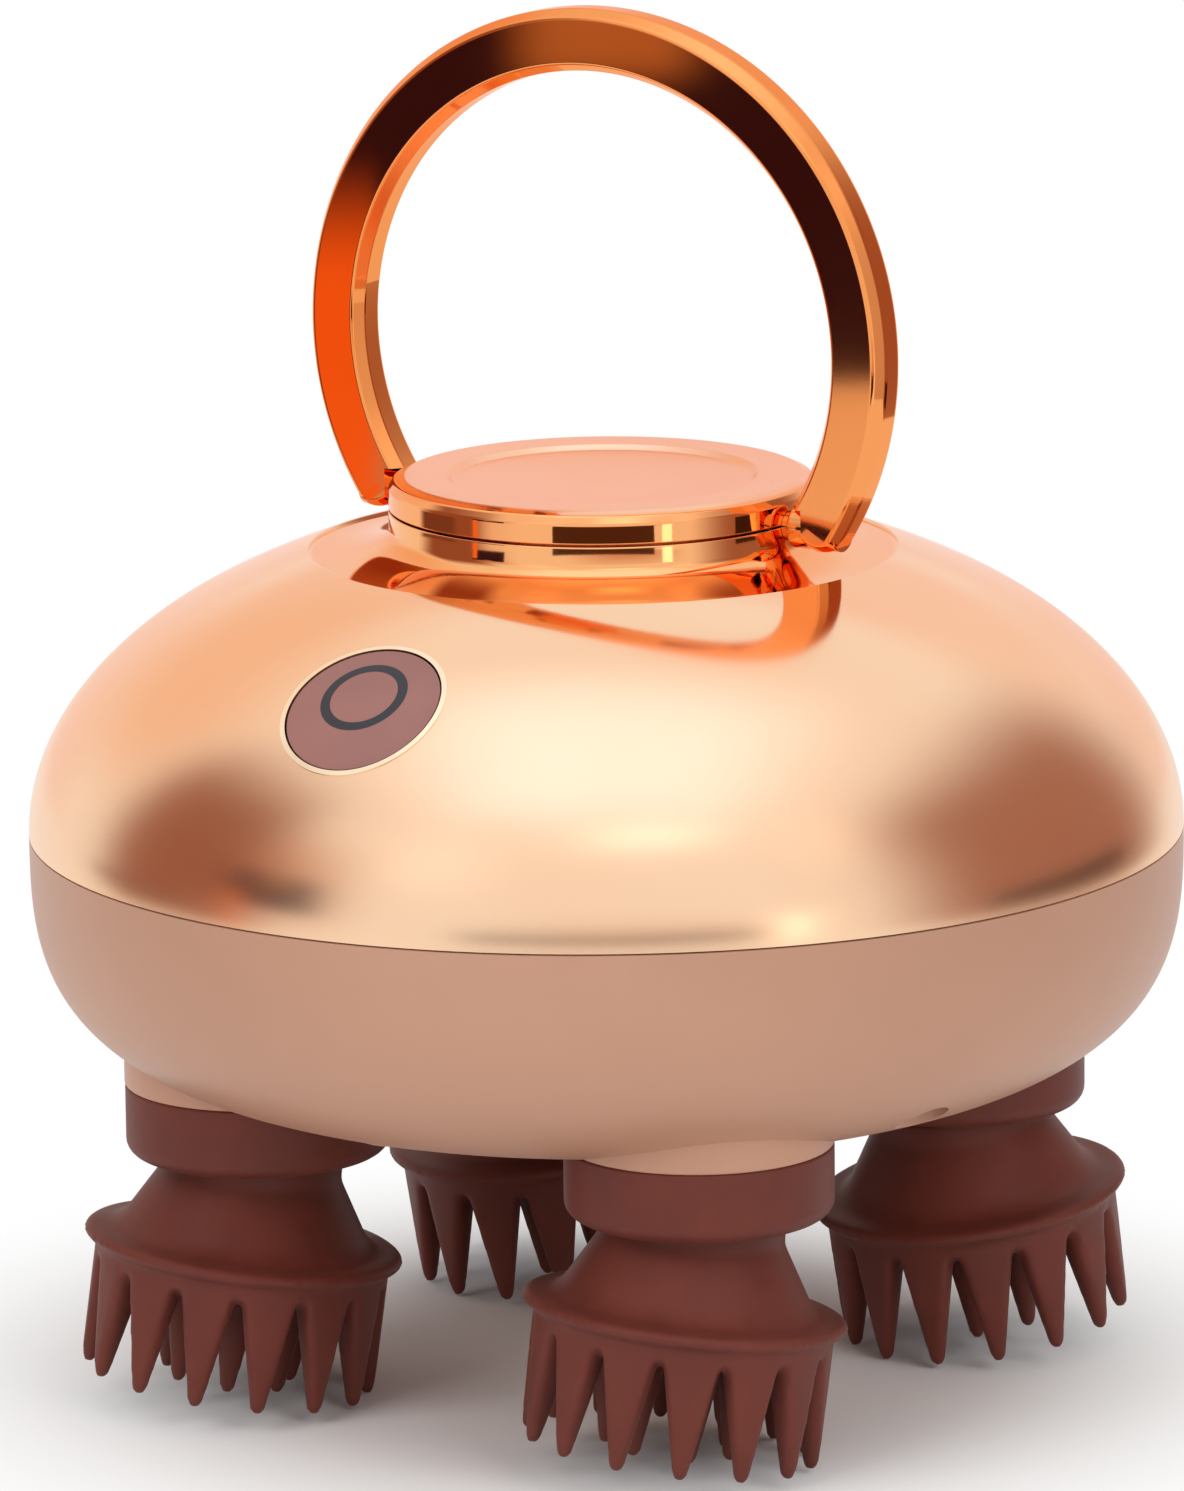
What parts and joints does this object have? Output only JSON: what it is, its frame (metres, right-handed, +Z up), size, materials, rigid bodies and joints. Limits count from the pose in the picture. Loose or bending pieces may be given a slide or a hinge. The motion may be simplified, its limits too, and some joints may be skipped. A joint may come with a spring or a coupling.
{
  "type": "electric scalp massager",
  "caption": "Cordless hand-held scalp massager: round rose-gold body, wobbling silicone claws below, press button, folding ring handle.",
  "frame": {"origin": "on the body's axis, in the plane of the lowest claw tips, on which the part stands", "axes": "+Z up along the body's axis, -Y towards the button, +X along the ring handle's folding axis, to the right as seen from the button's side; the charging inlet faces +Y"},
  "size_m": [0.115, 0.115, 0.1381],
  "materials": {
    "rose_gold_shell": "satin metallic paint, polished towards the neck",
    "nude_shell": "satin, fine texture",
    "dark_seal": "matte",
    "satin_gold_cap": "plated: satin top, mirror side",
    "mirror_gold": "plated, mirror",
    "steel": "bright",
    "pale_gold_trim": "plated, mirror",
    "mauve_button": "satin, with a printed plain ring",
    "switch_plastic": "moulded",
    "circuit_board": "solder mask",
    "chip_plastic": "moulded",
    "cell_wrap": "shrink sleeve",
    "inner_plastic": "moulded",
    "zinc": "cast",
    "gear_plastic": "moulded, slippery",
    "rose_gold_rubber": "matte",
    "brown_silicone": "matte silicone",
    "bronze": "sintered"
  },
  "bodies": {
    "housing": {"upper_shell": "rose_gold_shell", "lower_shell": "nude_shell", "seam_seal": "dark_seal", "top_cap": "satin_gold_cap", "button_bezel": "pale_gold_trim", "button_membrane": "dark_seal", "tact_switch": "switch_plastic", "button_board": "circuit_board", "main_board": "circuit_board", "board_parts": "chip_plastic", "battery_cell": "cell_wrap", "battery_cradle": "inner_plastic", "motor": "steel", "motor_gearbox": "zinc", "gear_plate": "inner_plastic", "gear_plate_screws": "steel", "case_screws": "steel", "charge_socket": "steel", "charge_board": "circuit_board", "collar_front_left": "brown_silicone", "collar_front_right": "brown_silicone", "collar_back_right": "brown_silicone", "collar_back_left": "brown_silicone", "seal_front_left": "dark_seal", "seal_front_right": "dark_seal", "seal_back_right": "dark_seal", "seal_back_left": "dark_seal", "bush_front_left": "bronze", "bush_front_right": "bronze", "bush_back_right": "bronze", "bush_back_left": "bronze"},
    "ring": {"ring_handle": "mirror_gold", "handle_pins": "steel"},
    "button": {"button_cap": "mauve_button"},
    "inlet_plug": {"port_plug": "rose_gold_rubber"},
    "drive": {"drive_shaft": "steel", "drive_gear": "gear_plastic"},
    "head_front_left": {"gear_front_left": "gear_plastic", "spindle_front_left": "steel", "hub_front_left": "inner_plastic", "claw_front_left": "brown_silicone"},
    "head_front_right": {"gear_front_right": "gear_plastic", "spindle_front_right": "steel", "hub_front_right": "inner_plastic", "claw_front_right": "brown_silicone"},
    "head_back_right": {"gear_back_right": "gear_plastic", "spindle_back_right": "steel", "hub_back_right": "inner_plastic", "claw_back_right": "brown_silicone"},
    "head_back_left": {"gear_back_left": "gear_plastic", "spindle_back_left": "steel", "hub_back_left": "inner_plastic", "claw_back_left": "brown_silicone"}
  },
  "joints": [
    {"name": "ring_fold", "type": "hinge", "parent": "housing", "child": "ring", "pos_m": [0, 0, 0.08834], "axis": [1, 0, 0], "range_deg": [-90, 90]},
    {"name": "button_press", "type": "slide", "parent": "housing", "child": "button", "axis": [0, 0.5878, -0.809], "range_m": [0, 0.0008], "stiffness_N_per_m": 400},
    {"name": "plug_pull", "type": "slide", "parent": "housing", "child": "inlet_plug", "axis": [0, 1, 0], "range_m": [0, 0.006]},
    {"name": "drive_spin", "type": "hinge", "parent": "housing", "child": "drive", "pos_m": [0, 0, 0.04334], "axis": [0, 0, 1], "continuous": true},
    {"name": "spin_front_left", "type": "hinge", "parent": "housing", "child": "head_front_left", "pos_m": [-0.02546, -0.02546, 0.04334], "axis": [0, 0, 1], "continuous": true},
    {"name": "spin_front_right", "type": "hinge", "parent": "housing", "child": "head_front_right", "pos_m": [0.02546, -0.02546, 0.04334], "axis": [0, 0, 1], "continuous": true},
    {"name": "spin_back_right", "type": "hinge", "parent": "housing", "child": "head_back_right", "pos_m": [0.02546, 0.02546, 0.04334], "axis": [0, 0, 1], "continuous": true},
    {"name": "spin_back_left", "type": "hinge", "parent": "housing", "child": "head_back_left", "pos_m": [-0.02546, 0.02546, 0.04334], "axis": [0, 0, 1], "continuous": true}
  ],
  "couplings": [
    {"joint": "spin_front_left", "follows": "drive_spin", "ratio": -2},
    {"joint": "spin_front_right", "follows": "drive_spin", "ratio": -2},
    {"joint": "spin_back_right", "follows": "drive_spin", "ratio": -2},
    {"joint": "spin_back_left", "follows": "drive_spin", "ratio": -2}
  ]
}
